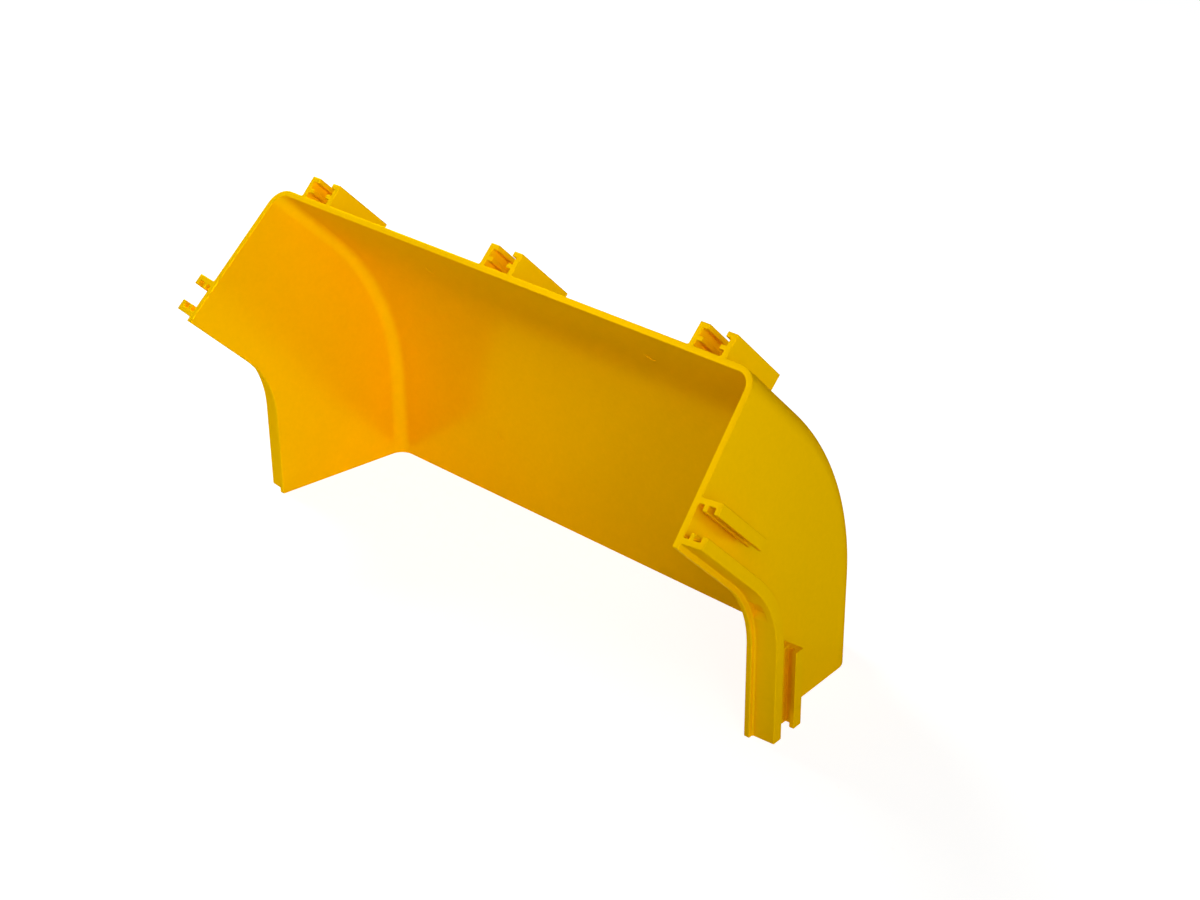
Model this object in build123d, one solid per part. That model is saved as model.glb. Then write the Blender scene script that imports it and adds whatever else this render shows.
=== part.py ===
from build123d import *
from math import cos, radians, sin, tan
import os

# A 45 degree vertical elbow of an open fibre raceway, moulded in one piece.
# All sizes are in millimetres and degrees. The elbow stands on its lower end, with its
# trough open towards -Y. The origin lies in the lower end's plane, at the middle of the
# floor's thickness and of its width.

# Trough: a U section whose side walls lean outwards
floor_width = 360.0
depth = 92.0
wall = 3.5
wall_lean = 5.5
corner_radius = 8.5

# Bend between the two straight legs, with the free edges on its inside
bend_angle = 45.0
free_edge_radius = 58.0
plain_run = 8.0

# Connector channels at both ends: two walls with turned-in lips, and a rib below each lip
channel_length = 45.0
channel_width = 24.0
channel_height = 13.0
channel_wall = 3.2
lip_reach = 6.5
lip_thickness = 3.0
rib_lift = 3.3
rib_thickness = 2.5
channel_inset = 21.0

# Cover flange: the front half of a side channel, carried round the whole free edge
rim_height = 3.0

# Latch pocket in each flange at the middle of the bend, with a ramp below it
pocket_width = 8.5
pocket_length = 8.5
pocket_depth = 1.8
pocket_ramp = 4.5
pocket_radius = 2.0

# Ejector marks on the inside of the floor, a pair in each leg
mark_diameter = 6.5
mark_depth = 0.35
mark_spacing = 168.0
mark_setback = 43.0

# Moulded edges
edge_radius = 0.6
root_radius = 1.0

# Sizes that follow from the ones above
half_width = floor_width / 2
floor_radius = depth + free_edge_radius
straight = channel_length + plain_run
lean = radians(wall_lean)
free_edge_x = half_width + depth * tan(lean)
rim_width = wall / cos(lean)
channel_side = channel_width / 2
channel_face = channel_side - channel_wall


def corners(shape, points):
    """The corners of a flat shape that lie on the given points."""
    places = [Vector(point) for point in points]
    return shape.vertices().filter_by(lambda corner: corner.center() in places)


def both_sides(*points):
    """The points, with their mirror images across the trough's middle."""
    return [(side * x, y) for x, y in points for side in (1, -1)]


def trough_wall():
    """U section. Its Y runs from the floor's outer face to the free edge."""
    outer_corner = (half_width, 0)
    outer_rim = (free_edge_x, depth)
    inner_rim = (free_edge_x - rim_width, depth)
    inner_corner = (half_width + wall * tan(lean) - rim_width, wall)
    right = [outer_corner, outer_rim, inner_rim, inner_corner]
    left = [(-x, y) for x, y in reversed(right)]
    section = make_face(Polyline(*right, *left, close=True))
    section = fillet(corners(section, both_sides(outer_corner)), corner_radius + wall)
    section = fillet(corners(section, both_sides(inner_corner)), corner_radius)
    return fillet(corners(section, both_sides(outer_rim, inner_rim)), edge_radius)


def channel_half(side, ribbed):
    """One side of a channel, standing along +Y and rooted in the wall below Y = 0."""
    face = side * channel_face
    outside = side * channel_side
    tip = side * (channel_side - lip_reach)
    lip_base = channel_height - lip_thickness
    rib_top = rib_lift + rib_thickness
    foot = [(face, -wall / 2), (outside, -wall / 2)]
    top = [(outside, channel_height), (tip, channel_height)]
    lip = [(tip, lip_base), (face, lip_base)]
    rib = [(face, rib_top), (tip, rib_top), (tip, rib_lift), (face, rib_lift)] if ribbed else []
    half = make_face(Polyline(*foot, *top, *lip, *rib, close=True))
    return fillet(corners(half, top), edge_radius)


def section_with(seats, ribbed):
    """The trough's section with channel halves on their seats, and a fillet at every root."""
    section = trough_wall()
    roots = []
    for seat, sides in seats:
        for side in sides:
            section += seat * channel_half(side, ribbed)
            roots += [(seat * Location((side * x, 0, 0))).position for x in (channel_side, channel_face)]
    return fillet(corners(section, roots), root_radius)


# Seats of the channels: Y outwards, and X along the floor or the side wall
rim_to_channel = rim_height + channel_side
right_seat = Location((free_edge_x, depth, 0), (0, 0, -90 - wall_lean)) * Location((rim_to_channel, 0, 0))
left_seat = Location((-free_edge_x, depth, 0), (0, 0, 90 + wall_lean)) * Location((-rim_to_channel, 0, 0))
floor_pitch = half_width - channel_inset - channel_side
floor_seats = [Location((x, 0, 0), (0, 0, 180)) for x in (-floor_pitch, 0, floor_pitch)]

flanged_section = section_with([(right_seat, (-1,)), (left_seat, (1,))], ribbed=False)
end_section = section_with([(seat, (1, -1)) for seat in (right_seat, left_seat, *floor_seats)], ribbed=True)

# Lower leg: channels at the end, then the plain flanged trough up to the bend
lower_end = Plane(origin=(0, wall / 2, 0), x_dir=(-1, 0, 0), z_dir=(0, 0, 1))
bend_start = lower_end.offset(straight)
leg = extrude(lower_end * end_section, amount=channel_length)
leg += extrude(lower_end.offset(channel_length) * flanged_section, amount=plain_run)
for x in (-mark_spacing / 2, mark_spacing / 2):
    mark_place = Plane(origin=(x, -wall / 2, mark_setback), z_dir=(0, 1, 0))
    leg -= mark_place * extrude(Circle(mark_diameter / 2), amount=mark_depth)

# Bend about an axis across the open side, and the upper leg as the lower one's mirror image
bend_axis = Axis((0, wall / 2 - floor_radius, straight), (1, 0, 0))
bend = revolve(bend_start * flanged_section, bend_axis, bend_angle)
half_bend = radians(bend_angle / 2)
bend_middle = Plane(origin=bend_axis.position, x_dir=(1, 0, 0), z_dir=(0, -sin(half_bend), cos(half_bend)))
elbow = leg + bend + mirror(leg, about=bend_middle)

# Latch pocket: its outline runs up the bend and into the flange, and it is open at the front
pocket_top = (pocket_length + pocket_ramp) / 2
pocket_foot = pocket_top - pocket_length
front = -channel_wall
ramp_foot = pocket_foot - pocket_ramp * (pocket_depth - front) / pocket_depth
outline = [(pocket_top, front), (pocket_top, pocket_depth), (pocket_foot, pocket_depth), (ramp_foot, front)]
outline_plane = Plane(origin=(0, 0, 0), x_dir=(0, 0, 1), z_dir=(0, 1, 0))
pocket = extrude(outline_plane * make_face(Polyline(*outline, close=True)), amount=pocket_width)
top_edges = pocket.edges().filter_by(Axis.X).group_by(Axis.Z)[-1]
pocket = fillet(top_edges.sort_by(Axis.Y)[-1], pocket_radius)

# The pocket's side runs down the flange's root fillet, half way out
turn_to_middle = Location(bend_axis.position, (bend_angle / 2, 0, 0))
section_at_middle = turn_to_middle * Location((0, floor_radius, 0), (0, 0, 180))
flange_front = right_seat * Location((-channel_side, root_radius / 2, 0))
pocket = section_at_middle * flange_front * pocket
elbow -= pocket + mirror(pocket, about=Plane.YZ)

os.makedirs("parts", exist_ok=True)
export_step(elbow, "parts/raceway_elbow.step")
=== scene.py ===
import math

import bmesh
import bpy
from mathutils import Matrix, Vector


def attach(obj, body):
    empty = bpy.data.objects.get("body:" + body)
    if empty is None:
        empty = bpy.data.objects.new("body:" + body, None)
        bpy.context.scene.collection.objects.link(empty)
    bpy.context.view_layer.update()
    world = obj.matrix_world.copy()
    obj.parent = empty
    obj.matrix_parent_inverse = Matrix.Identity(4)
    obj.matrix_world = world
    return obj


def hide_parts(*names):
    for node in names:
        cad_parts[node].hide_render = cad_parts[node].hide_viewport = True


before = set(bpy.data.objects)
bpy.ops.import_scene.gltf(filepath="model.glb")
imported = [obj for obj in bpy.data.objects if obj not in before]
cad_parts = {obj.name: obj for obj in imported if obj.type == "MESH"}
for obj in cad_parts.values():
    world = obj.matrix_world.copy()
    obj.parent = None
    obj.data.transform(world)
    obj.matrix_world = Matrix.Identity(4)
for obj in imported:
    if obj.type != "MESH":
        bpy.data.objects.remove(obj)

bpy.context.view_layer.update()

MM = 0.001

# Trough, bend and end channels, as in the part, in millimetres and radians
FLOOR_WIDTH = 360.0
DEPTH = 92.0
WALL = 3.5
WALL_LEAN = math.radians(5.5)
CORNER_RADIUS = 8.5
FLOOR_RADIUS = 150.0
BEND_ANGLE = math.radians(45.0)
STRAIGHT = 53.0
RIM_HEIGHT = 3.0
CHANNEL_LENGTH = 45.0
CHANNEL_SIDE = 12.0
CHANNEL_FACE = 8.8
CHANNEL_TIP = 5.5
CHANNEL_HEIGHT = 13.0
CHANNEL_INSET = 21.0
LIP_BASE = 10.0
RIB_BASE = 3.3
RIB_TOP = 5.8

# Ejector marks on the inside of the floor
MARK_DIAMETER = 6.5
MARK_DEPTH = 0.35
MARK_SPACING = 168.0
MARK_SETBACK = 43.0
MARK_SIDES = 48

# Latch pocket: places along the bend, depth into the flange, and reach out from the wall.
# It is deeper than in the part, with a steeper ramp, as it looks in the photograph.
POCKET_TOP = 6.5
POCKET_FLOOR_FOOT = -3.0
POCKET_RAMP = 2.6
POCKET_DEPTH = 2.5
POCKET_FROM = 0.5
POCKET_TO = 9.0
POCKET_RADIUS = 2.0
POCKET_STEPS = 6
POCKET_WELD = 0.0001

# Rounding of moulded edges
EDGE_RADIUS = 0.6
TIP_RADIUS = 0.5
NOOK_RADIUS = 0.4
ROOT_RADIUS = 1.0
LEAST_CORNER_STEPS = 3
CORNER_FINENESS = 2.2
END_RADIUS = 0.35
END_STEPS = 3
BEND_STEPS = 36
SHARP_ANGLE = math.radians(40.0)

# Photograph's camera: sensor and lens in millimetres, place in metres
SENSOR = 36.0
LENS = 64.94
CAMERA_PLACE = Vector((0.76858, -0.78125, 0.62424))
CAMERA_FORWARD = Vector((-0.62544, 0.63286, -0.45641))
CAMERA_ROLL = math.radians(0.49)

# Moulded plastic: colour and gloss, and the grain of its surface in metres
YELLOW = (0.95, 0.56, 0.0)
DARKEST = 0.93
LIGHTEST = 1.05
CLOUD_SHARE = 0.4
GLOSS = 0.18
SMOOTHEST = 0.16
ROUGHENED_BY_CLOUDS = 0.06
CLOUDS_PER_METRE = 9.0
MOTTLES_PER_METRE = 400.0
WAVES_PER_METRE = 30.0
WAVE_STRENGTH = 0.1
WAVE_HEIGHT = 0.0005
GRAINS_PER_METRE = 1400.0
GRAIN_STRENGTH = 0.06
GRAIN_HEIGHT = 0.0002

# Studio, in metres
FLOOR_SIZE = 12.0
FLOOR_RETURN = (0.8, 0.8, 0.8, 1.0)
FLOOR_SHADE = (0.3, 0.3, 0.3, 1.0)
FLOOR_GLOW = 0.9
WHITE = (1.0, 1.0, 1.0, 1.0)
COOL = (0.83, 1.0, 1.0)
LAMP_DISTANCE = 1.6
ELBOW_MIDDLE = Vector((0.0, -0.06, 0.09))
ABOVE_LEFT_WALL = Vector((-0.4, 0.1, 0.3))

# What a corner of the end section belongs to: the plain trough, what the ends add to it,
# or a step from one to the other
PLAIN, ADDED, STEP_OUT, STEP_BACK = range(4)
MIRRORED = {PLAIN: PLAIN, ADDED: ADDED, STEP_OUT: STEP_BACK, STEP_BACK: STEP_OUT}


class Link:
    """One output of a node. Sums on it add maths nodes to its tree."""

    def __init__(self, tree, output):
        self.tree = tree
        self.output = output

    @classmethod
    def node(cls, tree, kind, settings=None, inputs=None, output=0):
        """Adds a node, sets its options and then its sockets, and gives one of its outputs."""
        node = tree.nodes.new(kind)
        for name, value in (settings or {}).items():
            setattr(node, name, value)
        for name, value in (inputs or {}).items():
            socket = next(
                socket for socket in node.inputs if name in (socket.identifier, socket.name)
            )
            if isinstance(value, Link):
                tree.links.new(value.output, socket)
            else:
                socket.default_value = value
        return cls(tree, node.outputs[output]) if node.outputs else None

    def all_outputs(self):
        """Every output of the same node, by name."""
        return {output.name: Link(self.tree, output) for output in self.output.node.outputs}

    def maths(self, operation, *values):
        inputs = dict(zip(("Value", "Value_001"), values))
        return Link.node(self.tree, "ShaderNodeMath", {"operation": operation}, inputs)

    def at_least(self, other):
        return self.maths("MAXIMUM", self, other)

    def at_most(self, other):
        return self.maths("MINIMUM", self, other)

    def __add__(self, other):
        return self.maths("ADD", self, other)

    def __radd__(self, other):
        return self.maths("ADD", other, self)

    def __sub__(self, other):
        return self.maths("SUBTRACT", self, other)

    def __rsub__(self, other):
        return self.maths("SUBTRACT", other, self)

    def __mul__(self, other):
        return self.maths("MULTIPLY", self, other)

    def __rmul__(self, other):
        return self.maths("MULTIPLY", other, self)

    def __truediv__(self, other):
        return self.maths("DIVIDE", self, other)

    def __rtruediv__(self, other):
        return self.maths("DIVIDE", other, self)


def channel_half(is_flange):
    """Corners of a channel half, walked away from the channel's middle.

    Each has its place along the wall, height above it, radius and kind.
    """
    if is_flange:
        foot, rib_start, rib_end, rest, end = PLAIN, STEP_OUT, STEP_BACK, PLAIN, PLAIN
    else:
        foot, rib_start, rib_end, rest, end = STEP_OUT, ADDED, ADDED, ADDED, STEP_BACK
    return [
        (CHANNEL_FACE, 0.0, ROOT_RADIUS, foot),
        (CHANNEL_FACE, RIB_BASE, NOOK_RADIUS, rib_start),
        (CHANNEL_TIP, RIB_BASE, TIP_RADIUS, ADDED),
        (CHANNEL_TIP, RIB_TOP, TIP_RADIUS, ADDED),
        (CHANNEL_FACE, RIB_TOP, NOOK_RADIUS, rib_end),
        (CHANNEL_FACE, LIP_BASE, NOOK_RADIUS, rest),
        (CHANNEL_TIP, LIP_BASE, TIP_RADIUS, rest),
        (CHANNEL_TIP, CHANNEL_HEIGHT, TIP_RADIUS, rest),
        (CHANNEL_SIDE, CHANNEL_HEIGHT, EDGE_RADIUS, rest),
        (CHANNEL_SIDE, 0.0, ROOT_RADIUS, end),
    ]


def mirrored(corners):
    """The same corners on the other side of the middle, in walking order."""
    return [(-x, y, radius, MIRRORED[kind]) for x, y, radius, kind in reversed(corners)]


def on_side_wall(along, height):
    """A place in the section, from a side channel's place along the wall and height above it."""
    up_wall = Vector((math.sin(WALL_LEAN), math.cos(WALL_LEAN)))
    outwards = Vector((math.cos(WALL_LEAN), -math.sin(WALL_LEAN)))
    rim = Vector((FLOOR_WIDTH / 2 + DEPTH * math.tan(WALL_LEAN), DEPTH))
    return rim + (along - RIM_HEIGHT - CHANNEL_SIDE) * up_wall + height * outwards


def section_corners():
    """Corners of the end section, from the floor's middle round one side, and back by the other."""
    half = channel_half(is_flange=False)
    floor_seat = FLOOR_WIDTH / 2 - CHANNEL_INSET - CHANNEL_SIDE
    corners = [(x, -height, radius, kind) for x, height, radius, kind in half]
    for x, height, radius, kind in mirrored(half) + half:
        corners.append((floor_seat + x, -height, radius, kind))
    corners.append((FLOOR_WIDTH / 2, 0.0, CORNER_RADIUS + WALL, PLAIN))
    for along, height, radius, kind in mirrored(half) + channel_half(is_flange=True):
        corners.append((*on_side_wall(along, height), radius, kind))
    rim = on_side_wall(CHANNEL_SIDE + RIM_HEIGHT, 0.0)
    across_wall = WALL / math.cos(WALL_LEAN)
    inner_corner = FLOOR_WIDTH / 2 + WALL * math.tan(WALL_LEAN) - across_wall
    corners.append((rim.x, rim.y, EDGE_RADIUS, PLAIN))
    corners.append((rim.x - across_wall, rim.y, EDGE_RADIUS, PLAIN))
    corners.append((inner_corner, WALL, CORNER_RADIUS, PLAIN))
    return corners + mirrored(corners)


def rounded_outline(corners):
    """Points of the rounded section, each with its outward normal and its share.

    A share of 0 is on the plain trough, and 1 on what the ends add to it.
    """
    outline = []
    for index, (x, y, radius, kind) in enumerate(corners):
        corner = Vector((x, y))
        before = (corner - Vector(corners[index - 1][:2])).normalized()
        after = (Vector(corners[(index + 1) % len(corners)][:2]) - corner).normalized()
        turn = math.atan2(before.cross(after), before.dot(after))
        side = math.copysign(1.0, turn)
        normal = Vector((before.y, -before.x))
        start = corner - radius * math.tan(abs(turn) / 2) * before
        centre = start - side * radius * normal
        wanted_steps = math.ceil(abs(turn) * math.sqrt(radius) * CORNER_FINENESS)
        steps = max(LEAST_CORNER_STEPS, wanted_steps)
        for step in range(steps + 1):
            part = step / steps
            facing = Matrix.Rotation(turn * part, 2) @ normal
            share = {PLAIN: 0.0, ADDED: 1.0, STEP_OUT: part, STEP_BACK: 1.0 - part}[kind]
            outline.append((centre + side * radius * facing, facing, share))
    return outline


def straight_moulding():
    """The moulding before it is bent: ends with their channels, and the plain trough between."""
    outline = rounded_outline(section_corners())
    everywhere = range(len(outline))
    plain = [index for index, point in enumerate(outline) if point[2] == 0.0]
    length = 2 * STRAIGHT + FLOOR_RADIUS * BEND_ANGLE
    quarter = [math.pi / 2 * step / END_STEPS for step in range(END_STEPS + 1)]
    shape = bmesh.new()

    def ring(along, indices, inset=0.0, added_inset=0.0):
        points = []
        for index in indices:
            place, facing, share = outline[index]
            place = place - (inset + added_inset * share) * facing
            points.append(shape.verts.new((place.x * MM, (WALL / 2 - place.y) * MM, along * MM)))
        return points

    def join(first, second):
        for index in range(len(first)):
            shape.faces.new((first[index - 1], first[index], second[index], second[index - 1]))

    def end(place, inwards):
        """An end face with its channels, all edges rounded. Gives the plain trough's ring."""
        rings = []
        for angle in quarter:
            along = place + inwards * END_RADIUS * (1 - math.cos(angle))
            rings.append(ring(along, everywhere, inset=END_RADIUS * (1 - math.sin(angle))))
        for angle in quarter:
            along = place + inwards * (CHANNEL_LENGTH - END_RADIUS * (1 - math.sin(angle)))
            rings.append(ring(along, everywhere, added_inset=END_RADIUS * (1 - math.cos(angle))))
        for first, second in zip(rings, rings[1:]):
            join(first, second)
        shape.faces.new(rings[0])
        for first, second in zip(plain, plain[1:]):
            if second > first + 1:
                shape.faces.new(rings[-1][first:second + 1])
        return [rings[-1][index] for index in plain]

    last = end(0.0, 1)
    for step in range(BEND_STEPS + 1):
        following = ring(STRAIGHT + FLOOR_RADIUS * BEND_ANGLE * step / BEND_STEPS, plain)
        join(last, following)
        last = following
    join(last, end(length, -1))
    bmesh.ops.recalc_face_normals(shape, faces=shape.faces)
    bmesh.ops.triangulate(shape, faces=[face for face in shape.faces if len(face.verts) > 4])
    return to_mesh(shape, "straight moulding")


def to_mesh(shape, name):
    mesh = bpy.data.meshes.new(name)
    shape.to_mesh(mesh)
    shape.free()
    return mesh


def latch_pockets():
    """Cutters for the latch pockets in both flanges, at the middle of the bend."""
    along_path = Vector((0.0, -math.sin(BEND_ANGLE / 2), math.cos(BEND_ANGLE / 2)))
    from_axis = Vector((0.0, math.cos(BEND_ANGLE / 2), math.sin(BEND_ANGLE / 2)))
    axis = Vector((0.0, WALL / 2 - FLOOR_RADIUS, STRAIGHT))
    in_front = POCKET_DEPTH
    full_depth = POCKET_DEPTH + in_front
    ramp_foot = POCKET_FLOOR_FOOT - POCKET_RAMP * full_depth / POCKET_DEPTH
    outline = [(along, POCKET_FROM) for along in (ramp_foot, POCKET_FLOOR_FOOT, POCKET_TOP)]
    for step in range(POCKET_STEPS + 1):
        angle = math.pi / 2 * step / POCKET_STEPS
        outline.append((
            POCKET_TOP - POCKET_RADIUS * (1 - math.cos(angle)),
            POCKET_TO - POCKET_RADIUS * (1 - math.sin(angle)),
        ))
    outline += [(POCKET_FLOOR_FOOT, POCKET_TO), (ramp_foot, POCKET_TO)]
    shape = bmesh.new()

    def corner(side, along, out, into):
        across = on_side_wall(CHANNEL_SIDE - into, out)
        point = axis + (FLOOR_RADIUS - across.y) * from_axis + along * along_path
        return shape.verts.new(Vector((side * across.x, point.y, point.z)) * MM)

    for side in (1, -1):
        front = [corner(side, along, out, -in_front) for along, out in outline]
        back = []
        for along, out in outline:
            up_ramp = min(1.0, (along - ramp_foot) / (POCKET_FLOOR_FOOT - ramp_foot))
            back.append(corner(side, along, out, up_ramp * full_depth - in_front))
        for index in range(len(outline)):
            shape.faces.new((front[index - 1], front[index], back[index], back[index - 1]))
        shape.faces.new(front)
        shape.faces.new(back[1:-1])
        shape.faces.new((back[0], back[1], back[-2], back[-1]))
    bmesh.ops.remove_doubles(shape, verts=shape.verts, dist=POCKET_WELD * MM)
    bmesh.ops.recalc_face_normals(shape, faces=shape.faces)
    return to_mesh(shape, "latch pockets")


def elbow_tree():
    """Presses the ejector marks into the straight moulding, and bends it round the elbow's axis."""
    tree = bpy.data.node_groups.new("raceway elbow", "GeometryNodeTree")
    sizes = (
        "Wall", "Straight", "Floor Radius", "Bend Angle",
        "Mark Diameter", "Mark Depth", "Mark Spacing", "Mark Setback",
    )
    tree.interface.new_socket("Geometry", in_out="INPUT", socket_type="NodeSocketGeometry")
    for name in sizes:
        tree.interface.new_socket(name, in_out="INPUT", socket_type="NodeSocketFloat")
    tree.interface.new_socket("Material", in_out="INPUT", socket_type="NodeSocketMaterial")
    tree.interface.new_socket("Geometry", in_out="OUTPUT", socket_type="NodeSocketGeometry")
    given = Link.node(tree, "NodeGroupInput").all_outputs()
    wall, straight = given["Wall"], given["Straight"]
    radius, angle = given["Floor Radius"], given["Bend Angle"]
    arc = radius * angle
    length = 2.0 * straight + arc

    # A pin for each mark, half sunk in the floor
    lying = (math.pi / 2, 0.0, 0.0)
    middle = Link.node(tree, "ShaderNodeCombineXYZ", inputs={"Y": -0.5 * wall, "Z": 0.5 * length})
    spots = Link.node(tree, "GeometryNodeMeshGrid", inputs={
        "Size X": given["Mark Spacing"], "Size Y": length - 2.0 * given["Mark Setback"],
        "Vertices X": 2, "Vertices Y": 2,
    })
    spots = Link.node(tree, "GeometryNodeTransform", inputs={
        "Geometry": spots, "Translation": middle, "Rotation": lying,
    })
    pin = Link.node(tree, "GeometryNodeMeshCylinder", inputs={
        "Vertices": MARK_SIDES,
        "Radius": 0.5 * given["Mark Diameter"], "Depth": 2.0 * given["Mark Depth"],
    })
    pin = Link.node(tree, "GeometryNodeTransform", inputs={"Geometry": pin, "Rotation": lying})
    pins = Link.node(
        tree, "GeometryNodeInstanceOnPoints", inputs={"Points": spots, "Instance": pin},
    )
    pins = Link.node(tree, "GeometryNodeRealizeInstances", inputs={"Geometry": pins})
    shape = Link.node(
        tree, "GeometryNodeMeshBoolean", {"operation": "DIFFERENCE", "solver": "EXACT"},
        {"Mesh 1": given["Geometry"], "Mesh 2": pins},
    )

    # The lower leg stays, the middle turns about the axis, and the upper leg runs on from it
    position = Link.node(tree, "GeometryNodeInputPosition")
    split = Link.node(tree, "ShaderNodeSeparateXYZ", inputs={"Vector": position})
    x, y, z = split.all_outputs().values()
    past = z - straight
    turned = (past / radius).at_least(0.0).at_most(angle)
    cosine, sine = turned.maths("COSINE", turned), turned.maths("SINE", turned)
    below = past.at_most(0.0)
    beyond = (past - arc).at_least(0.0)
    axis = 0.5 * wall - radius
    reach = y - axis
    bent = Link.node(tree, "ShaderNodeCombineXYZ", inputs={
        "X": x,
        "Y": axis + reach * cosine - beyond * sine,
        "Z": straight + below + reach * sine + beyond * cosine,
    })
    shape = Link.node(
        tree, "GeometryNodeSetPosition", inputs={"Geometry": shape, "Position": bent},
    )
    shape = Link.node(tree, "GeometryNodeRealizeInstances", inputs={"Geometry": shape})
    shape = Link.node(
        tree, "GeometryNodeSetMaterial", inputs={"Geometry": shape, "Material": given["Material"]},
    )
    Link.node(tree, "NodeGroupOutput", inputs={"Geometry": shape})
    return tree


def add_object(name, data):
    holder = bpy.data.objects.new(name, data)
    bpy.context.collection.objects.link(holder)
    return holder


def make_moulding(material):
    """The elbow: the straight moulding, bent by its node tree and cut for its latch pockets."""
    straight = straight_moulding()
    straight.materials.append(material)
    draft = add_object("draft", straight)
    cutter = add_object("cutter", latch_pockets())
    tree = elbow_tree()
    bend = draft.modifiers.new("bend", "NODES")
    bend.node_group = tree
    values = {
        "Wall": WALL * MM, "Straight": STRAIGHT * MM,
        "Floor Radius": FLOOR_RADIUS * MM, "Bend Angle": BEND_ANGLE,
        "Mark Diameter": MARK_DIAMETER * MM, "Mark Depth": MARK_DEPTH * MM,
        "Mark Spacing": MARK_SPACING * MM, "Mark Setback": MARK_SETBACK * MM,
        "Material": material,
    }
    for socket in tree.interface.items_tree:
        if socket.in_out == "INPUT" and socket.name in values:
            bend[socket.identifier] = values[socket.name]
    cut = draft.modifiers.new("pockets", "BOOLEAN")
    cut.operation = "DIFFERENCE"
    cut.solver = "EXACT"
    cut.object = cutter
    finished = draft.evaluated_get(bpy.context.evaluated_depsgraph_get())
    mesh = bpy.data.meshes.new_from_object(finished)
    for leftover in (draft, cutter):
        bpy.data.objects.remove(leftover)

    mesh.name = "raceway_moulding"
    mesh.materials.clear()
    mesh.materials.append(material)
    mesh.shade_smooth()
    mesh.set_sharp_from_angle(angle=SHARP_ANGLE)
    piece = add_object("raceway_moulding", mesh)
    normals = piece.modifiers.new("normals", "WEIGHTED_NORMAL")
    normals.keep_sharp = True
    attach(piece, "root")
    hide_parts("raceway_elbow")


def new_material(name):
    material = bpy.data.materials.new(name)
    material.use_nodes = True
    material.node_tree.nodes.clear()
    return material, material.node_tree


def yellow_plastic():
    """Satin moulded plastic: clouds and mottles in its colour, slow waves and a fine grain."""
    material, tree = new_material("yellow_plastic")
    place = Link.node(tree, "ShaderNodeTexCoord", output="Object")

    def noise(scale, detail):
        inputs = {"Vector": place, "Scale": scale, "Detail": detail}
        return Link.node(tree, "ShaderNodeTexNoise", inputs=inputs)

    def shade_of_yellow(level):
        return tuple(level * part for part in YELLOW) + (1.0,)

    cloud = noise(CLOUDS_PER_METRE, detail=3.0)
    mottle = noise(MOTTLES_PER_METRE, detail=3.0)
    wave = noise(WAVES_PER_METRE, detail=1.0)
    grain = noise(GRAINS_PER_METRE, detail=2.0)
    # The third output of this node is the mixed colour
    colour = Link.node(tree, "ShaderNodeMix", {"data_type": "RGBA"}, {
        "Factor_Float": CLOUD_SHARE * cloud + (1.0 - CLOUD_SHARE) * mottle,
        "A_Color": shade_of_yellow(DARKEST), "B_Color": shade_of_yellow(LIGHTEST),
    }, output=2)
    waves = Link.node(tree, "ShaderNodeBump", inputs={
        "Height": wave, "Strength": WAVE_STRENGTH, "Distance": WAVE_HEIGHT,
    })
    bump = Link.node(tree, "ShaderNodeBump", inputs={
        "Height": grain, "Strength": GRAIN_STRENGTH, "Distance": GRAIN_HEIGHT, "Normal": waves,
    })
    # The pigment tints what the surface reflects, so the gloss comes from a share of metal
    # and not from a clear layer
    shader = Link.node(tree, "ShaderNodeBsdfPrincipled", inputs={
        "Base Color": colour, "Roughness": SMOOTHEST + ROUGHENED_BY_CLOUDS * cloud,
        "Normal": bump, "Metallic": GLOSS,
        "Specular IOR Level": 0.0, "Specular Tint": YELLOW + (1.0,),
    })
    Link.node(tree, "ShaderNodeOutputMaterial", inputs={"Surface": shader})
    return material


def seen_directly(tree):
    """1 for rays that show the background itself: to the camera, reflected or through glass."""
    rays = Link.node(tree, "ShaderNodeLightPath").all_outputs()
    reflected_or_through = rays["Is Glossy Ray"].at_least(rays["Is Transmission Ray"])
    return rays["Is Camera Ray"].at_least(reflected_or_through)


def pale_floor():
    """White where it is seen, with faint shadows, and plain pale card to the light it returns."""
    material, tree = new_material("pale_floor")
    shade = Link.node(tree, "ShaderNodeBsdfDiffuse", inputs={"Color": FLOOR_SHADE})
    glow = Link.node(tree, "ShaderNodeEmission", inputs={"Color": WHITE, "Strength": FLOOR_GLOW})
    card = Link.node(tree, "ShaderNodeBsdfDiffuse", inputs={"Color": FLOOR_RETURN})
    pale = Link.node(tree, "ShaderNodeAddShader", inputs={"Shader": glow, "Shader_001": shade})
    shader = Link.node(tree, "ShaderNodeMixShader", inputs={
        "Fac": seen_directly(tree), "Shader": card, "Shader_001": pale,
    })
    Link.node(tree, "ShaderNodeOutputMaterial", inputs={"Surface": shader})
    return material


def make_floor():
    shape = bmesh.new()
    bmesh.ops.create_grid(shape, x_segments=1, y_segments=1, size=FLOOR_SIZE / 2)
    mesh = to_mesh(shape, "floor")
    mesh.materials.append(pale_floor())
    add_object("floor", mesh)


def make_world():
    """White where it is seen. The lamps alone light the elbow."""
    world = bpy.data.worlds.new("studio")
    world.use_nodes = True
    tree = world.node_tree
    tree.nodes.clear()
    light = Link.node(tree, "ShaderNodeBackground", inputs={
        "Color": WHITE, "Strength": seen_directly(tree),
    })
    Link.node(tree, "ShaderNodeOutputWorld", inputs={"Surface": light})
    bpy.context.scene.world = world


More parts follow.
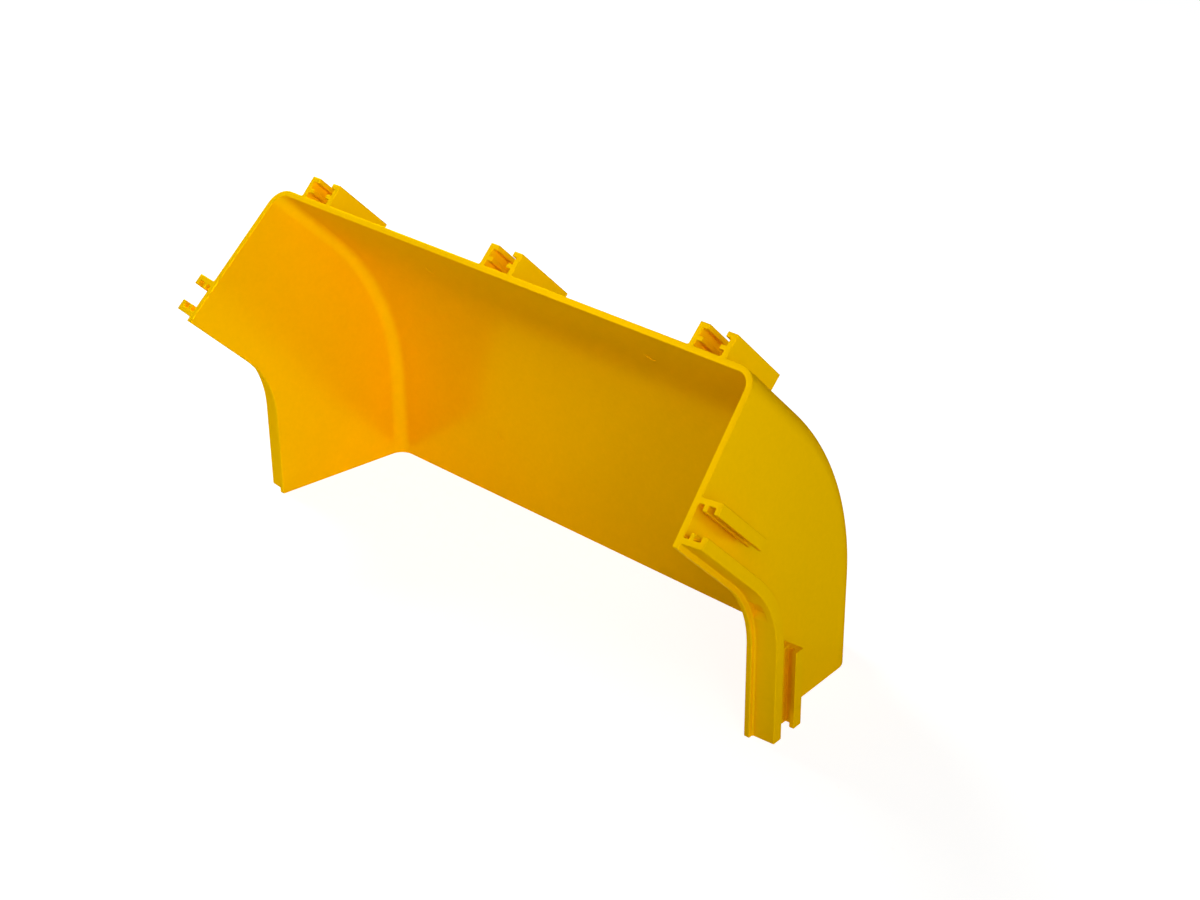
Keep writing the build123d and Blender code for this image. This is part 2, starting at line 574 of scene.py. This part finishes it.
def make_lamp(name, azimuth, elevation, size, level, colour, beam=180.0, aim=ELBOW_MIDDLE):
    """A round lamp on a sphere about the elbow, with its angles in degrees.

    With a full beam, a white surface that faces it at the elbow shows the level given.
    """
    turn = math.radians(azimuth)
    rise = math.radians(elevation)
    flat = math.cos(rise)
    towards = Vector((flat * math.cos(turn), flat * math.sin(turn), math.sin(rise)))
    lamp = bpy.data.lights.new(name, "AREA")
    lamp.shape = "DISK"
    lamp.size = size
    lamp.color = colour
    lamp.energy = level * (math.pi * LAMP_DISTANCE) ** 2
    lamp.spread = math.radians(beam)
    holder = add_object(name, lamp)
    holder.location = ELBOW_MIDDLE + LAMP_DISTANCE * towards
    holder.rotation_euler = (aim - holder.location).to_track_quat("-Z", "Y").to_euler()


def make_lamps():
    """A narrow warm key on the left wall, warm lamps from the right, and wide cool ones."""
    make_lamp(
        "key", azimuth=312, elevation=30, size=0.12, level=0.035, colour=(1.0, 0.76, 0.6),
        beam=40.0, aim=ABOVE_LEFT_WALL,
    )
    make_lamp(
        "front right", azimuth=328, elevation=22.5, size=0.2, level=0.085, colour=(1.0, 0.84, 0.7),
    )
    make_lamp(
        "high right", azimuth=330, elevation=40, size=0.8, level=0.125, colour=(1.0, 0.79, 0.7),
    )
    make_lamp("side", azimuth=0, elevation=10, size=0.8, level=0.12, colour=COOL)
    make_lamp("front side", azimuth=340, elevation=10, size=0.8, level=0.11, colour=COOL)
    make_lamp("back left", azimuth=170, elevation=40, size=0.8, level=0.93, colour=COOL)
    make_lamp(
        "front left", azimuth=221, elevation=43, size=0.4, level=0.03, colour=(1.0, 0.95, 0.8),
    )


def make_camera():
    camera = bpy.data.cameras.new("camera")
    camera.sensor_width = SENSOR
    camera.lens = LENS
    holder = add_object("camera", camera)
    level = CAMERA_FORWARD.to_track_quat("-Z", "Y").to_matrix()
    turned = level @ Matrix.Rotation(-CAMERA_ROLL, 3, "Z")
    holder.matrix_world = Matrix.Translation(CAMERA_PLACE) @ turned.to_4x4()
    bpy.context.scene.camera = holder


make_moulding(yellow_plastic())
make_floor()
make_world()
make_lamps()
make_camera()
bpy.context.scene.view_settings.view_transform = "Standard"
# Light that the glossy floor of the trough throws on the side wall keeps its sharp edge
bpy.context.scene.cycles.blur_glossy = 0.0

bpy.context.view_layer.update()
